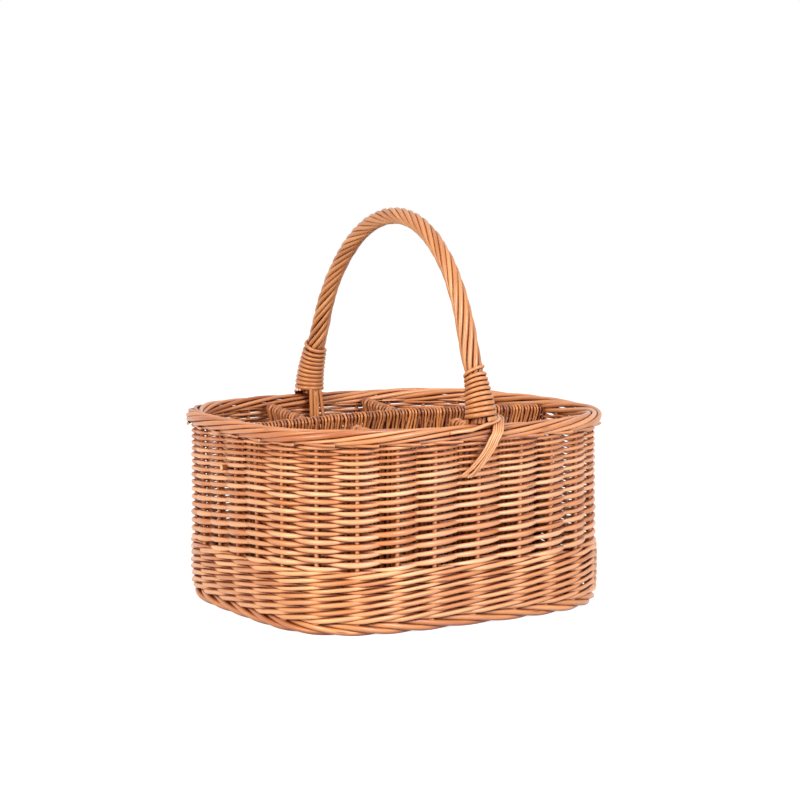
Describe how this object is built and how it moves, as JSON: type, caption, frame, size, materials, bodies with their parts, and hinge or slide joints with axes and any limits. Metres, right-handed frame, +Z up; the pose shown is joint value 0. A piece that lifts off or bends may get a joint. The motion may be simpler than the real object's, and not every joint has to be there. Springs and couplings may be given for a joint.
{
  "type": "wine bottle basket",
  "caption": "Free-standing woven willow carrier with crossed dividers making bottle cells and a fixed roped arch handle over the middle.",
  "frame": {"origin": "middle of the foot border, on the ground", "axes": "+Z up, X along the basket and its long divider, Y across it, from the front wall at -Y to the back wall at +Y; the handle crosses over the middle along Y"},
  "size_m": [0.4008, 0.3704, 0.4027],
  "materials": {
    "willow_buff": "satin",
    "willow_pale": "satin",
    "willow_gold": "satin",
    "willow_brown": "satin"
  },
  "bodies": {
    "root": {"foot_border": "willow_gold", "upset_round_1": "willow_gold", "upset_round_2": "willow_gold", "base_weave_under": "willow_gold", "base_weave_upper": "willow_gold", "handle_bow": "willow_gold", "long_divider_weave": "willow_gold", "back_left_divider_weave": "willow_gold", "back_right_divider_weave": "willow_gold", "front_left_divider_weave": "willow_gold", "front_right_divider_weave": "willow_gold", "rim_border": "willow_pale", "top_wale": "willow_pale", "lapping_front": "willow_pale", "lapping_back": "willow_pale", "siding_round_1": "willow_buff", "siding_round_2": "willow_buff", "siding_round_3": "willow_buff", "handle_roping": "willow_buff", "binding_front": "willow_buff", "binding_back": "willow_buff", "stake_01": "willow_buff", "stake_02": "willow_buff", "stake_03": "willow_buff", "stake_04": "willow_buff", "stake_05": "willow_buff", "stake_06": "willow_buff", "stake_07": "willow_buff", "stake_08": "willow_buff", "stake_09": "willow_buff", "stake_10": "willow_buff", "stake_11": "willow_buff", "stake_12": "willow_buff", "stake_13": "willow_buff", "stake_14": "willow_buff", "stake_15": "willow_buff", "stake_16": "willow_buff", "stake_17": "willow_buff", "stake_18": "willow_buff", "stake_19": "willow_buff", "stake_20": "willow_buff", "stake_21": "willow_buff", "stake_22": "willow_buff", "stake_23": "willow_buff", "stake_24": "willow_buff", "stake_25": "willow_buff", "stake_26": "willow_buff", "stake_27": "willow_buff", "stake_28": "willow_buff", "stake_29": "willow_buff", "stake_30": "willow_buff", "base_slath": "willow_brown", "leg_rods_front": "willow_brown", "leg_rods_back": "willow_brown", "long_divider_top_rail": "willow_brown", "long_divider_through_rail": "willow_brown", "back_left_divider_rail": "willow_brown", "back_right_divider_rail": "willow_brown", "front_left_divider_rail": "willow_brown", "front_right_divider_rail": "willow_brown"}
  },
  "joints": []
}
